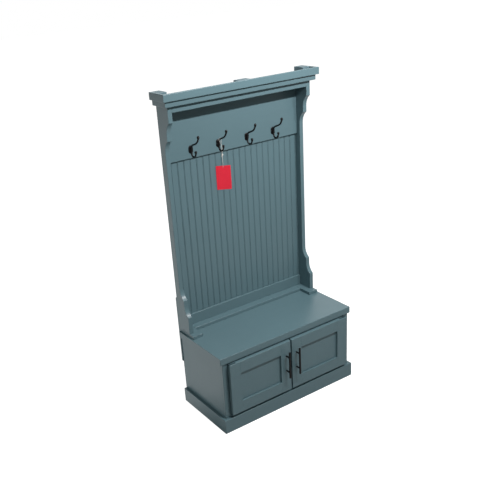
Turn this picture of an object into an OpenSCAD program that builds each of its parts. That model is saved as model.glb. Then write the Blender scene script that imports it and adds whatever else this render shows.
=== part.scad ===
// Hall tree: a two-door bench cabinet that carries a beadboard back, scalloped side panels,
// a row of four coat hooks and an open-topped stepped crown.
// X runs to the right, Y to the back and Z up. The origin is the middle of the footprint, on the floor.

/* [Overall size] */
// Height of the whole hall tree, from the floor to the top of the crown
total_h = 1824; // [1700:1:2000]
// Height of the seat above the floor
seat_h = 470; // [440:1:520]
// Width of the bench top
bench_w = 934; // [860:1:1100]
// Depth of the bench top
bench_d = 422; // [380:1:480]

/* [Boards] */
// Thickness of the cabinet sides, floor, face frame and frieze
board_t = 19; // [16:0.5:22]
// Thickness of the bench top
bench_t = 39; // [30:1:45]
// Thickness of the two back panels
back_t = 6; // [5:0.5:8]
// Radius of the eased edges that hands and coats touch
ease_r = 2.5; // [1:0.25:4]

/* [Bench cabinet] */
// Overhang of the bench top past each cabinet side
side_overhang = 13.5; // [8:0.5:20]
// Overhang of the bench top past the front of the face frame
front_overhang = 8; // [4:0.5:14]
// Width of the face frame's outer stiles
stile_w = 48; // [46:1:56]
// Width of the face frame's centre stile
centre_stile_w = 45; // [36:1:60]
// Height of the face frame's top rail
top_rail_h = 38; // [34:1:50]
// Height of the face frame's bottom rail
bottom_rail_h = 60; // [40:1:70]
// Height of the cabinet floor's upper face above the ground
floor_z = 116; // [112:1:130]
// Height of the stretcher that joins the sides at the back
stretcher_h = 60; // [40:1:80]
// Height of the plinth boards
plinth_h = 86; // [60:1:92]
// Thickness of the plinth boards
plinth_t = 18.5; // [14:0.5:24]

/* [Doors] */
// Strip of outer stile that shows beside each door
stile_reveal = 32.5; // [28:0.5:34]
// Gap between the two doors
door_gap = 9; // [4:0.5:12]
// Gap between the top of a door and the bench top
door_head_gap = 8; // [7.5:0.5:14]
// Height of the lower edge of a door above the plinth
door_foot_gap = 17.5; // [12:0.5:24]
// Thickness of a door
door_t = 22; // [20:0.5:25]
// Air gap between the back of a shut door and the face frame
door_back_gap = 3; // [2.5:0.25:4]
// Width of a door's stiles and rails
door_frame_w = 70; // [55:1:90]
// Thickness of a door's flat panel
door_panel_t = 6; // [5:0.5:8]
// Depth of a door's flat panel behind the frame's face
door_recess = 12; // [6:0.5:13]
// Depth of the groove that holds the panel and the rails' tongues
door_groove = 9; // [7:0.5:12]
// Clearance round the panel inside its groove
panel_clear = 1; // [0.5:0.25:2]

/* [Door hardware] */
// Distance between the two posts of a pull handle
pull_post_pitch = 96; // [64:1:128]
// Length of the handle's bar
pull_bar_l = 166; // [140:1:190]
// Diameter of the handle's bar
pull_bar_d = 12; // [10:0.5:14]
// Diameter of the handle's posts
pull_post_d = 9; // [7:0.5:10]
// Distance from the door's face to the bar's axis
pull_stand_off = 30; // [24:1:38]
// Distance from the door's free edge to the handle's posts
pull_inset = 32; // [26:1:44]
// Distance from a door's pivot edge to the pivot axis
pivot_inset = 7; // [6.5:0.25:7.5]
// Diameter of a pivot pin
pivot_d = 5; // [4:0.25:6]
// Radial running clearance of a pivot pin in its leaf
pivot_clear = 0.05; // [0.02:0.01:0.1]
// Thickness of the pivot plates and leaves
pivot_plate_t = 3; // [2.5:0.25:3.5]
// Width of the pivot plates and leaves
pivot_plate_w = 13; // [11:0.5:13]
// Running gap between a pivot plate and its leaf
pivot_gap = 0.4; // [0.3:0.05:0.6]

/* [Hutch] */
// Inset of the hutch from each end of the bench top
hutch_inset = 10; // [6:0.5:20]
// Thickness of the side panels
side_panel_t = 25; // [20:0.5:30]
// Thickness of the foot boards that lie on the bench
foot_t = 19; // [15:0.5:25]
// Width of the foot's two arms
foot_arm_w = 64; // [50:1:80]
// Length of the foot's arms, from the back
foot_arm_d = 143; // [125:1:170]
// Depth of the foot's back strip
foot_back_d = 57; // [40:1:80]
// Depth of the side panels at their head and foot
wide_d = 105; // [95:1:120]
// Depth of the side panels between the two steps of a scallop
mid_d = 73.5; // [65:0.5:82]
// Depth of the side panels along their plain length
narrow_d = 40; // [30:1:50]
// Radius of the coves that follow each step
cove_r = 76; // [60:1:90]
// Drop from the frieze to the first corner of the upper scallop
upper_step_drop = 49; // [30:1:80]
// Rise from the foot to the first corner of the lower scallop
lower_step_rise = 102; // [70:1:140]
// Distance between the two corners of a scallop
step_pitch = 95; // [80:1:120]
// Height of the rail above the bench
low_rail_h = 65; // [45:1:90]
// Thickness of the rail above the bench
low_rail_t = 10; // [8:0.5:16]

/* [Beadboard] */
// Distance from bead to bead
bead_pitch = 40; // [30:0.5:50]
// Sideways place of one bead, measured from the middle
bead_offset = -12; // [-20:0.5:20]
// Width of a bead
bead_w = 8; // [5:0.5:10]
// Radius of the two grooves that border a bead
bead_groove_r = 2.5; // [1:0.25:3]

/* [Hook rail and hooks] */
// Height of the hook rail
hook_rail_h = 328.5; // [280:0.5:420]
// Thickness of the hook rail
hook_rail_t = 13; // [10:0.5:18]
// Height of the hooks' plates above the rail's lower edge
hook_rise = 47.5; // [44:0.5:80]
// Sideways places of the hooks, as shares of the rail's length
hook_shares = [-0.335, -0.133, 0.087, 0.298]; // [-0.45:0.001:0.45]
// Reach of a hook's upper arm from the rail
hook_reach = 86; // [76:1:100]
// Rise of a hook's upper tip above the middle of its plate
hook_tip_rise = 84; // [70:1:100]
// Reach of a hook's lower arm from the rail
hook_low_reach = 49; // [40:1:60]
// Drop of a hook's lower bend below the middle of its plate
hook_drop = 36; // [30:1:42]
// Width of a hook's plate
hook_plate_w = 27; // [24:0.5:32]
// Height of a hook's plate
hook_plate_h = 44; // [40:1:56]
// Thickness of a hook's plate at its raised middle
hook_plate_t = 4; // [3:0.25:5]
// Diameter of a hook's arm where it leaves the plate
hook_root_d = 10; // [8:0.25:10]
// Diameter of a hook's arm before its tip
hook_neck_d = 9; // [7:0.25:9.5]
// Diameter of the bulb that ends a hook's arm
hook_bulb_d = 14.5; // [11:0.25:16]
// Length of the bulb on the upper arm
hook_bulb_l = 20; // [14:0.5:24]
// Length of the bulb on the lower arm
hook_low_bulb_l = 15; // [11:0.5:18]
// Shank diameter of a hook's screws
hook_screw_d = 3.5; // [3:0.25:4]
// Head diameter of a hook's screws
hook_screw_head_d = 6; // [5:0.25:6]

/* [Crown] */
// Height of the outer fascia
fascia_h = 38; // [32:1:50]
// Thickness of the outer fascia
fascia_t = 14; // [10:0.5:18]
// Height of the bed board that shows below the fascia
bed_show = 29; // [20:0.5:40]
// Thickness of the bed boards
bed_t = 23; // [16:0.5:28]
// Height of the frieze that shows below the bed board
frieze_show = 33.5; // [25:0.5:50]
// Thickness of the board that closes the top of the hutch
crown_board_t = 16; // [12:0.5:20]
// Height by which the fascia stands above that board
rim_up = 28; // [20:1:31]
// Length of the glue blocks inside the rim
block_l = 76; // [60:1:90]
// Width of the glue blocks inside the rim
block_w = 46; // [36:1:47]

/* [Back battens] */
// Width of a batten
batten_w = 50; // [36:1:70]
// Thickness of a batten
batten_t = 12; // [10:0.5:19]
// Length of a batten over the back of the hutch, above the seat
batten_up = 207; // [120:1:300]
// Length of a batten over the back of the cabinet, below the seat
batten_down = 205; // [120:1:300]

/* [Hang tag] */
// Width of the card
tag_w = 81; // [60:1:90]
// Height of the card
tag_h = 134; // [100:1:150]
// Thickness of the card
tag_t = 0.8; // [0.5:0.1:1.2]
// Turn of the card about its string
tag_turn = 32; // [0:1:32]
// Radius of the card's string hole
tag_hole_r = 2.2; // [1.8:0.1:3]

/* [Hidden] */

$fn = 48;
// Overrun of every cut past the face that it opens
cut_over = 1;

paint = [0.36, 0.47, 0.50];
paint_inside = [0.33, 0.43, 0.46];
black = [0.07, 0.07, 0.07];
steel = [0.62, 0.63, 0.64];
rubber_clear = [0.75, 0.77, 0.78];
tag_red = [0.80, 0.10, 0.16];
string_white = [0.92, 0.91, 0.88];

// Depths, measured from the plane of the cabinet's and the hutch's back edges
body_d = bench_d - front_overhang;
door_face_d = body_d + door_back_gap + door_t;
pull_axis_d = door_face_d + pull_stand_off;
front_reach = pull_axis_d + pull_bar_d / 2;
rear_reach = back_t + batten_t;
back_y = (front_reach - rear_reach) / 2;

// Widths
body_w = bench_w - 2 * side_overhang;
plinth_w = body_w + 2 * plinth_t;
plinth_d = body_d + plinth_t;
hutch_w = bench_w - 2 * hutch_inset;
hutch_in_w = hutch_w - 2 * side_panel_t;
opening_half_w = body_w / 2 - stile_w;

// Heights
bench_under_z = seat_h - bench_t;
foot_top_z = seat_h + foot_t;
fascia_z = total_h - fascia_h;
bed_z = fascia_z - bed_show;
frieze_z = bed_z - frieze_show;
crown_board_top = total_h - rim_up;
crown_board_z = crown_board_top - crown_board_t;
bottom_rail_z = floor_z - bottom_rail_h;
door_z = plinth_h + door_foot_gap;
door_top_z = bench_under_z - door_head_gap;
door_h = door_top_z - door_z;
hook_rail_z = crown_board_z - hook_rail_h;
hook_z = hook_rail_z + hook_rise;

// Door edges and the pivot axis, as distances from the middle plane
door_edge_x = body_w / 2 - stile_reveal;
door_free_x = door_gap / 2;
door_w = door_edge_x - door_free_x;
pivot_x = door_edge_x - pivot_inset;
pivot_depth = body_d + door_back_gap + door_t / 2;
pull_x = door_free_x + pull_inset;
pull_mid_z = (door_z + door_top_z) / 2 + pull_bar_l / 7;

// Pivot hardware worked out from the plates
pivot_leaf_l = 3.5 * pivot_plate_w;
pivot_pin_l = 1.8 * pivot_plate_t;
pivot_kerf_d = 0.85 * board_t;
pivot_pocket_r = pivot_d / 2 + 4 * pivot_clear;

// Catches and bumpers worked out from the gap that they bridge
bumper_r = 1.5 * door_back_gap;
bumper_rest = pivot_clear * 4;
catch_w = 9 * door_back_gap;
catch_h = 4 * door_back_gap;
catch_d = 5 * door_back_gap;
strike_t = door_back_gap / 2;

// Hooks, left to right
HOOK_COUNT = len(hook_shares);
function hook_x(i) = hook_shares[i] * hutch_in_w;
hook_face_y = back_y - hook_rail_t;

// Centreline of a hook's arms as [reach, height] control points, shares of the arm's own sizes
upper_start_shares = [[0.0588, -0.03], [0.0616, 0.179], [0.1744, 0.304], [0.4186, 0.369]];
upper_end_shares = [[0.4186, 0.369], [0.721, 0.477], [0.953, 0.56], [1.0, 1.0]];
lower_start_shares = [[0.104, -0.06], [0.107, 0.80], [0.26, 1.08], [0.58, 1.0]];
lower_end_shares = [[0.58, 1.0], [0.90, 0.92], [1.06, 0.62], [1.0, 0.03]];
arm_steps = 12;
arm_sides = 12;

// Distance of a hook plate's two screws from its middle, as a share of its width
hook_screw_share = 0.31;
// Bite of a hook's screws in the rail
hook_screw_bite = 0.9 * hook_rail_t;

// The string's route, in millimetres from the middle of its hook's plate, at the rail's face
string_d = 1.4;
string_points = [
    [5.9, -22.6, -64], [6, -23.3, -85], [5.7, -24.2, -111], [5.62, -24.37, -120], [5.62, -24.37, -125.6],
    [6.05, -23.68, -127.58], [7.1, -22, -128.4], [8.15, -20.32, -127.58], [8.58, -19.63, -125.6],
    [8.58, -19.63, -120], [8.4, -20.1, -110], [7.9, -21.3, -85], [7.8, -22, -64], [7.8, -22, -36],
    [7.7, -22, -10], [7.4, -22, 10], [7.1, -22, 20], [6.3, -22, 27.6], [3.7, -22, 31.2], [0, -22, 32.3],
    [-3.7, -22, 31.1], [-6.2, -22, 27.5], [-6.5, -22, 22.5], [-5.3, -22, 17], [-1.9, -22, 7.5],
    [1.7, -22, -2.5], [4.5, -22, -14.5], [5.8, -22, -27], [5.9, -22, -44], [5.9, -22.2, -61]
];
string_steps = 3;
string_sides = 8;
TAG_HOOK = 1;
tag_place = [7.1, -22, -121.1];
tag_hole_drop = 8.4;
knot_place = [6.85, -22.3, -62.5];
knot_d = 4.4;
knot_rings = [-1, -0.8, -0.45, 0, 0.45, 0.8, 1];
knot_sides = 12;
tag_corner_r = 3;

// A rectangle with the corners rounded that are marked 1, from lower left, anticlockwise
module eased_rect(w, h, r, corners = [1, 1, 1, 1]) {
    translate([r, 0])
        square([w - 2 * r, h]);
    translate([0, r])
        square([w, h - 2 * r]);
    centres = [[r, r], [w - r, r], [w - r, h - r], [r, h - r]];
    for (i = [0:3])
        translate(centres[i])
            if (corners[i] == 1)
                circle(r);
            else
                translate([-r, -r])
                    square(2 * r);
}

// Extrusions of a drawing along X (drawn in Y, Z), along Y (drawn in X, Z, running to the front)
module along_x(l) {
    rotate([90, 0, 90])
        linear_extrude(l)
            children();
}

module along_y(l) {
    rotate([90, 0, 0])
        linear_extrude(l)
            children();
}

// A plain board between two depths from the back plane
module board(x0, x1, d0, d1, z0, z1) {
    translate([x0, back_y - d1, z0])
        cube([x1 - x0, d1 - d0, z1 - z0]);
}

// A board that runs along X with its long edges eased: corners are back or front, low or high
module rail_board(x0, x1, d0, d1, z0, z1, corners) {
    translate([x0, back_y - d1, z0])
        along_x(x1 - x0)
            eased_rect(d1 - d0, z1 - z0, ease_r, corners);
}

// A board that runs front to back with its long edges eased
module deep_board(x0, x1, d0, d1, z0, z1, corners) {
    translate([x0, back_y - d0, z0])
        along_y(d1 - d0)
            eased_rect(x1 - x0, z1 - z0, ease_r, corners);
}

// An upright board with its vertical edges eased
module post_board(x0, x1, d0, d1, z0, z1, corners) {
    translate([x0, back_y - d1, z0])
        linear_extrude(z1 - z0)
            eased_rect(x1 - x0, d1 - d0, ease_r, corners);
}

module mirror_if(flip) {
    if (flip)
        mirror([1, 0, 0])
            children();
    else
        children();
}

// Bench cabinet

module cabinet_side() {
    color(paint)
        board(body_w / 2 - board_t, body_w / 2, 0, body_d - board_t, 0, bench_under_z);
}

module cabinet_floor() {
    half = body_w / 2 - board_t;
    color(paint_inside)
        board(-half, half, 0, body_d - board_t, floor_z - board_t, floor_z);
}

module cabinet_back() {
    color(paint_inside)
        board(-body_w / 2, body_w / 2, -back_t, 0, bottom_rail_z, bench_under_z);
}

module back_stretcher() {
    half = body_w / 2 - board_t;
    color(paint_inside)
        board(-half, half, 0, board_t, bench_under_z - stretcher_h, bench_under_z);
}

// The kerf in the stile takes the tail of each pivot plate
module face_stile() {
    color(paint)
        difference() {
            post_board(opening_half_w, body_w / 2, body_d - board_t, body_d, 0, bench_under_z, [0, 1, 0, 0]);
            for (high = [false, true])
                pivot_plate_blank(high);
        }
}

module face_stile_centre() {
    color(paint)
        board(-centre_stile_w / 2, centre_stile_w / 2, body_d - board_t, body_d,
            floor_z, bench_under_z - top_rail_h);
}

module face_rail_top() {
    color(paint)
        board(-opening_half_w, opening_half_w, body_d - board_t, body_d,
            bench_under_z - top_rail_h, bench_under_z);
}

module face_rail_bottom() {
    color(paint)
        board(-opening_half_w, opening_half_w, body_d - board_t, body_d, bottom_rail_z, floor_z);
}

// The plinth is mitred at its two front corners
module plinth_mitre_cut() {
    translate([body_w / 2, back_y - body_d, -cut_over])
        linear_extrude(plinth_h + 2 * cut_over)
            polygon([[0, 0], [2 * plinth_t, -2 * plinth_t], [2 * plinth_t, 2 * plinth_t], [0, 2 * plinth_t]]);
}

module plinth_front() {
    color(paint)
        difference() {
            rail_board(-plinth_w / 2, plinth_w / 2, body_d, plinth_d, 0, plinth_h, [0, 0, 0, 1]);
            plinth_mitre_cut();
            mirror([1, 0, 0])
                plinth_mitre_cut();
        }
}

module plinth_side() {
    color(paint)
        difference() {
            deep_board(body_w / 2, plinth_w / 2, 0, plinth_d, 0, plinth_h, [0, 0, 1, 0]);
            translate([body_w / 2, back_y - body_d, -cut_over])
                linear_extrude(plinth_h + 2 * cut_over)
                    polygon([[0, 0], [2 * plinth_t, -2 * plinth_t], [-cut_over, -2 * plinth_t], [-cut_over, 0]]);
        }
}

// The front corners are rounded in plan and the upper and lower arrises are eased
module bench_top() {
    color(paint)
        intersection() {
            rail_board(-bench_w / 2, bench_w / 2, 0, bench_d, bench_under_z, seat_h, [1, 0, 0, 1]);
            deep_board(-bench_w / 2, bench_w / 2, 0, bench_d, bench_under_z, seat_h, [1, 1, 1, 1]);
            translate([-bench_w / 2, back_y - bench_d, bench_under_z])
                linear_extrude(bench_t)
                    eased_rect(bench_w, bench_d, 2 * ease_r, [1, 1, 0, 0]);
        }
}

// Soft dots on the centre stile that the free stiles close on
module door_bumpers() {
    color(rubber_clear)
        for (s = [-1, 1], z = [door_z + door_frame_w / 2 + floor_z - door_z, door_top_z - door_frame_w])
            translate([s * (door_free_x + bumper_r + bumper_rest), back_y - body_d, z])
                along_y(door_back_gap - bumper_rest)
                    circle(bumper_r);
}

// A magnet housing hangs under the top rail behind each free stile
module magnetic_catches() {
    color([0.9, 0.9, 0.88])
        for (s = [-1, 1])
            mirror_if(s < 0)
                board(centre_stile_w / 2 + bumper_rest, centre_stile_w / 2 + bumper_rest + catch_w,
                    body_d - catch_d, body_d + strike_t - 2 * bumper_rest,
                    bench_under_z - top_rail_h - catch_h, bench_under_z - top_rail_h);
}

// A flat plate that runs from the pivot back into a kerf in the stile, over or under the door
module pivot_plate_blank(high) {
    z = high ? door_top_z + pivot_gap : door_z - pivot_gap - pivot_plate_t;
    translate([pivot_x, back_y - pivot_depth, z])
        linear_extrude(pivot_plate_t) {
            circle(pivot_plate_w / 2);
            translate([-pivot_plate_w / 2, 0])
                square([pivot_plate_w, pivot_depth - body_d + pivot_kerf_d]);
        }
}

// Each plate carries its riveted pin, which turns in the leaf let into the door's edge
module pivot_plates() {
    color(steel)
        for (s = [-1, 1], high = [false, true])
            mirror_if(s < 0) {
                pivot_plate_blank(high);
                z = high ? door_top_z + pivot_gap - pivot_pin_l : door_z - pivot_gap;
                translate([pivot_x, back_y - pivot_depth, z])
                    cylinder(h = pivot_pin_l, d = pivot_d);
            }
}

// Doors. Each is drawn as the right-hand one and mirrored for the left.

module pivot_leaf_blank(high, over) {
    z = high ? door_top_z - pivot_plate_t : door_z - over;
    translate([door_edge_x - pivot_leaf_l, back_y - pivot_depth - pivot_plate_w / 2, z])
        cube([pivot_leaf_l + over, pivot_plate_w, pivot_plate_t + over]);
}

// The pivot stile has a groove for the panel, two mortises for the leaves and two pin pockets
module door_pivot_stile() {
    color(paint)
        difference() {
            door_stile_blank(door_edge_x - door_frame_w, door_edge_x, [0, 1, 1, 0]);
            door_groove_cut(door_edge_x - door_frame_w - cut_over, door_edge_x - door_frame_w + door_groove);
            for (high = [false, true])
                pivot_leaf_blank(high, cut_over);
            translate([pivot_x, back_y - pivot_depth, door_z - cut_over])
                cylinder(h = pivot_pin_l + cut_over, r = pivot_pocket_r);
            translate([pivot_x, back_y - pivot_depth, door_top_z - pivot_pin_l])
                cylinder(h = pivot_pin_l + cut_over, r = pivot_pocket_r);
        }
}

module door_free_stile() {
    color(paint)
        difference() {
            door_stile_blank(door_free_x, door_free_x + door_frame_w, [1, 0, 0, 1]);
            door_groove_cut(door_free_x + door_frame_w - door_groove, door_free_x + door_frame_w + cut_over);
        }
}

module door_stile_blank(x0, x1, corners) {
    intersection() {
        post_board(x0, x1, body_d + door_back_gap, door_face_d, door_z, door_top_z, corners);
        rail_board(x0, x1, body_d + door_back_gap, door_face_d, door_z, door_top_z, [1, 0, 0, 1]);
    }
}

module door_groove_cut(x0, x1) {
    d0 = door_face_d - door_recess - door_panel_t;
    board(x0, x1, d0, d0 + door_panel_t, door_z - cut_over, door_top_z + cut_over);
}

// A rail has a tongue at each end that fills the stiles' groove, and a groove for the panel
module door_rail(z0, z1, groove_z0, groove_z1, corners) {
    x0 = door_free_x + door_frame_w;
    x1 = door_edge_x - door_frame_w;
    d0 = door_face_d - door_recess - door_panel_t;
    color(paint)
        difference() {
            union() {
                rail_board(x0, x1, body_d + door_back_gap, door_face_d, z0, z1, corners);
                board(x0 - door_groove, x1 + door_groove, d0, d0 + door_panel_t, z0, z1);
            }
            board(x0 - door_groove - cut_over, x1 + door_groove + cut_over, d0, d0 + door_panel_t,
                groove_z0, groove_z1);
        }
}

module door_top_rail() {
    z0 = door_top_z - door_frame_w;
    door_rail(z0, door_top_z, z0 - cut_over, z0 + door_groove, [0, 0, 0, 1]);
}

module door_bottom_rail() {
    z1 = door_z + door_frame_w;
    door_rail(door_z, z1, z1 - door_groove, z1 + cut_over, [1, 0, 0, 0]);
}

module door_panel() {
    reach = door_groove - panel_clear;
    d0 = door_face_d - door_recess - door_panel_t;
    color(paint)
        board(door_free_x + door_frame_w - reach, door_edge_x - door_frame_w + reach, d0, d0 + door_panel_t,
            door_z + door_frame_w - reach, door_top_z - door_frame_w + reach);
}

module door_pivot_leaves() {
    color(steel)
        difference() {
            for (high = [false, true])
                pivot_leaf_blank(high, 0);
            translate([pivot_x, back_y - pivot_depth, door_z - cut_over])
                cylinder(h = door_h + 2 * cut_over, r = pivot_d / 2 + pivot_clear);
        }
}

// The steel strike faces the magnet from the back of the free stile
module door_strike() {
    x0 = centre_stile_w / 2 + 2 * bumper_rest;
    z1 = bench_under_z - top_rail_h - catch_h / 8;
    color(steel)
        board(x0, x0 + catch_w - 2 * bumper_rest, body_d + door_back_gap - strike_t + bumper_rest,
            body_d + door_back_gap, z1 - 3 * catch_h / 4, z1);
}

module door_pull_bar() {
    color(black)
        difference() {
            translate([pull_x, back_y - pull_axis_d, pull_mid_z - pull_bar_l / 2])
                rotate_extrude()
                    intersection() {
                        square([pull_bar_d / 2, pull_bar_l]);
                        translate([-pull_bar_d, 0])
                            eased_rect(1.5 * pull_bar_d, pull_bar_l, pull_bar_d / 10);
                    }
            for (s = [-1, 1])
                translate([pull_x, back_y - pull_axis_d + pull_bar_d, pull_mid_z + s * pull_post_pitch / 2])
                    along_y(pull_bar_d)
                        circle(d = pull_post_d);
        }
}

module door_pull_posts() {
    color(black)
        for (s = [-1, 1])
            translate([pull_x, back_y - door_face_d, pull_mid_z + s * pull_post_pitch / 2])
                along_y(pull_stand_off)
                    circle(d = pull_post_d);
}

// Hutch

module foot_arm() {
    color(paint)
        intersection() {
            deep_board(hutch_w / 2 - foot_arm_w, hutch_w / 2, 0, foot_arm_d, seat_h, foot_top_z, [0, 0, 1, 1]);
            rail_board(hutch_w / 2 - foot_arm_w, hutch_w / 2, 0, foot_arm_d, seat_h, foot_top_z, [0, 0, 0, 1]);
        }
}

module foot_back() {
    half = hutch_w / 2 - foot_arm_w;
    color(paint)
        rail_board(-half, half, 0, foot_back_d, seat_h, foot_top_z, [0, 0, 0, 1]);
}

// A cove that starts at a step's corner and runs out on the narrower edge: drawn in depth and height,
// with the corner at the origin and the wood behind it
module cove(step) {
    h = sqrt(pow(cove_r, 2) - pow(cove_r - step, 2));
    difference() {
        translate([0, -h])
            square([step, h]);
        translate([step - cove_r, -h])
            circle(cove_r, $fn = 4 * $fn);
    }
}

// Half of a side panel's outline: the steps grow from the narrow edge to the wide end at the top
module scallop(end_z, corner_z) {
    translate([-wide_d, corner_z])
        square([wide_d, end_z - corner_z]);
    translate([-mid_d, corner_z - step_pitch])
        square([mid_d, end_z - corner_z + step_pitch]);
    translate([-wide_d, corner_z])
        cove(wide_d - mid_d);
    translate([-mid_d, corner_z - step_pitch])
        cove(mid_d - narrow_d);
}

module side_panel() {
    upper_corner = frieze_z - upper_step_drop;
    lower_corner = foot_top_z + lower_step_rise;
    color(paint)
        translate([hutch_w / 2 - side_panel_t, back_y, 0])
            along_x(side_panel_t) {
                translate([-narrow_d, foot_top_z])
                    square([narrow_d, crown_board_z - foot_top_z]);
                scallop(crown_board_z, upper_corner);
                mirror([0, 1])
                    scallop(-foot_top_z, -lower_corner);
            }
}

// The beadboard is nailed over the back edges of the side panels and the foot
module beadboard() {
    half = hutch_w / 2;
    first = ceil((-half + bead_w - bead_offset) / bead_pitch);
    last = floor((half - bead_w - bead_offset) / bead_pitch);
    color(paint)
        translate([0, back_y, seat_h])
            linear_extrude(crown_board_top - seat_h)
                difference() {
                    translate([-half, 0])
                        square([hutch_w, back_t]);
                    for (i = [first:last], s = [-1, 1])
                        translate([bead_offset + i * bead_pitch + s * bead_w / 2, 0])
                            circle(bead_groove_r);
                }
}

module bottom_rail() {
    color(paint)
        rail_board(-hutch_in_w / 2, hutch_in_w / 2, 0, low_rail_t, foot_top_z, foot_top_z + low_rail_h,
            [0, 0, 0, 1]);
}

module hook_rail() {
    color(paint)
        difference() {
            rail_board(-hutch_in_w / 2, hutch_in_w / 2, 0, hook_rail_t, hook_rail_z, crown_board_z, [1, 0, 0, 0]);
            for (i = [0:HOOK_COUNT - 1])
                hook_screw_holes(i, hook_screw_d / 2);
        }
}

module frieze() {
    color(paint)
        rail_board(-hutch_in_w / 2, hutch_in_w / 2, wide_d - board_t, wide_d, frieze_z, crown_board_z,
            [1, 0, 0, 0]);
}

// Crown

module crown_board() {
    color(paint)
        board(-hutch_w / 2, hutch_w / 2, 0, wide_d, crown_board_z, crown_board_top);
}

// Mitred rim: an outer rectangle less an inner one, cut on the 45 degree line at its front corner
module crown_front(in_half_w, in_d, t, z0, z1, corners) {
    difference() {
        rail_board(-in_half_w - t, in_half_w + t, in_d, in_d + t, z0, z1, corners);
        for (flip = [false, true])
            mirror_if(flip)
                translate([in_half_w, back_y - in_d, z0 - cut_over])
                    linear_extrude(z1 - z0 + 2 * cut_over)
                        polygon([[0, 0], [2 * t, -2 * t], [2 * t, 2 * t], [0, 2 * t]]);
    }
}

module crown_return(in_half_w, in_d, t, z0, z1, corners) {
    difference() {
        deep_board(in_half_w, in_half_w + t, 0, in_d + t, z0, z1, corners);
        translate([in_half_w, back_y - in_d, z0 - cut_over])
            linear_extrude(z1 - z0 + 2 * cut_over)
                polygon([[0, 0], [2 * t, -2 * t], [-cut_over, -2 * t], [-cut_over, 0]]);
    }
}

module crown_bed_front() {
    color(paint)
        crown_front(hutch_w / 2, wide_d, bed_t, bed_z, crown_board_top, [1, 0, 0, 0]);
}

module crown_bed_returns() {
    color(paint)
        for (flip = [false, true])
            mirror_if(flip)
                crown_return(hutch_w / 2, wide_d, bed_t, bed_z, crown_board_top, [0, 1, 0, 0]);
}

module crown_fascia_front() {
    color(paint)
        crown_front(hutch_w / 2 + bed_t, wide_d + bed_t, fascia_t, fascia_z, total_h, [1, 0, 0, 1]);
}

module crown_fascia_returns() {
    color(paint)
        for (flip = [false, true])
            mirror_if(flip)
                crown_return(hutch_w / 2 + bed_t, wide_d + bed_t, fascia_t, fascia_z, total_h, [0, 1, 1, 0]);
}

// Glue blocks: one behind the middle of the fascia and one in each back corner
module crown_blocks() {
    half = hutch_w / 2 + bed_t;
    front = wide_d + bed_t;
    color(paint_inside) {
        board(-block_l / 2, block_l / 2, front - block_w, front, crown_board_top, total_h);
        for (flip = [false, true])
            mirror_if(flip)
                board(half - block_w, half, 0, block_l, crown_board_top, total_h);
    }
}

module batten() {
    x1 = hutch_w / 2;
    color(paint)
        board(x1 - batten_w, x1, -rear_reach, -back_t, seat_h - batten_down, seat_h + batten_up);
}

// Coat hooks

function bezier(p, t) =
    pow(1 - t, 3) * p[0] + 3 * t * pow(1 - t, 2) * p[1] + 3 * t * t * (1 - t) * p[2] + pow(t, 3) * p[3];

function arm_line(start, end) = concat(
    [for (i = [0:arm_steps - 1]) bezier(start, i / arm_steps)],
    [for (i = [0:arm_steps]) bezier(end, i / arm_steps)]
);

// Length along a line of points, up to each point
function run(p, i = 0, s = 0) = i >= len(p) - 1 ? [s] : concat([s], run(p, i + 1, s + norm(p[i + 1] - p[i])));

// Radius of an arm: it tapers from the plate to its neck, then swells into a bulb with a round end
function arm_radius(s, total, bulb_l) =
    let (rest = total - s, neck = hook_neck_d / 2, root = hook_root_d / 2, bulb = hook_bulb_d / 2)
    rest > bulb_l
        ? root + (neck - root) * min(1, 1.6 * s / total)
        : let (q = rest / bulb_l)
            q > 0.45
                ? neck + (bulb - neck) * (0.5 + 0.5 * cos(180 * (q - 0.45) / 0.55))
                : bulb * sqrt(max(0.004, 1 - pow(1 - q / 0.45, 2)));

// Extra points near the tip keep its round end smooth
function tip_line(p, bulb_l) =
    let (n = len(p), last = p[n - 1], dir = (last - p[n - 2]) / norm(last - p[n - 2]))
    concat(
        [for (i = [0:n - 1]) if (norm(last - p[i]) > bulb_l) p[i]],
        [for (q = [1, 0.8, 0.62, 0.45, 0.3, 0.18, 0.08, 0]) last - q * bulb_l * dir]
    );

// Sweep a round section along a line of points, with a radius at each. No part of the line may run
// in the direction given by across.
module sweep(p, radii, sides_n, across) {
    n = len(p);
    rings = [
        for (i = [0:n - 1])
            let (
                a = p[max(0, i - 1)],
                b = p[min(n - 1, i + 1)],
                t = (b - a) / norm(b - a),
                u = cross(t, across) / norm(cross(t, across)),
                v = cross(t, u)
            )
            for (k = [0:sides_n - 1])
                let (w = 360 * k / sides_n)
                p[i] + radii[i] * (cos(w) * u + sin(w) * v)
    ];
    sides = [
        for (i = [0:n - 2], k = [0:sides_n - 1])
            let (a = i * sides_n + k, b = i * sides_n + (k + 1) % sides_n)
            [a, a + sides_n, b + sides_n, b]
    ];
    ends = [
        [for (k = [0:sides_n - 1]) k],
        [for (k = [sides_n - 1:-1:0]) (n - 1) * sides_n + k]
    ];
    polyhedron(rings, concat(sides, ends));
}

// A hook's arm, from its [reach, height] line
module arm_sweep(p, bulb_l) {
    s = run(p);
    total = s[len(p) - 1];
    sweep([for (q = p) [0, -q[0], q[1]]], [for (d = s) arm_radius(d, total, bulb_l)], arm_sides, [1, 0, 0]);
}

module stadium(w, h) {
    translate([-w / 2, -(h - w) / 2])
        square([w, h - w]);
    for (s = [-1, 1])
        translate([0, s * (h - w) / 2])
            circle(d = w);
}

module hook_screw_holes(i, r) {
    for (s = [-1, 1])
        translate([hook_x(i) + s * hook_screw_share * hook_plate_w, hook_face_y + hook_screw_bite, hook_z])
            along_y(hook_screw_bite + hook_plate_t + cut_over)
                circle(r);
}

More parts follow.
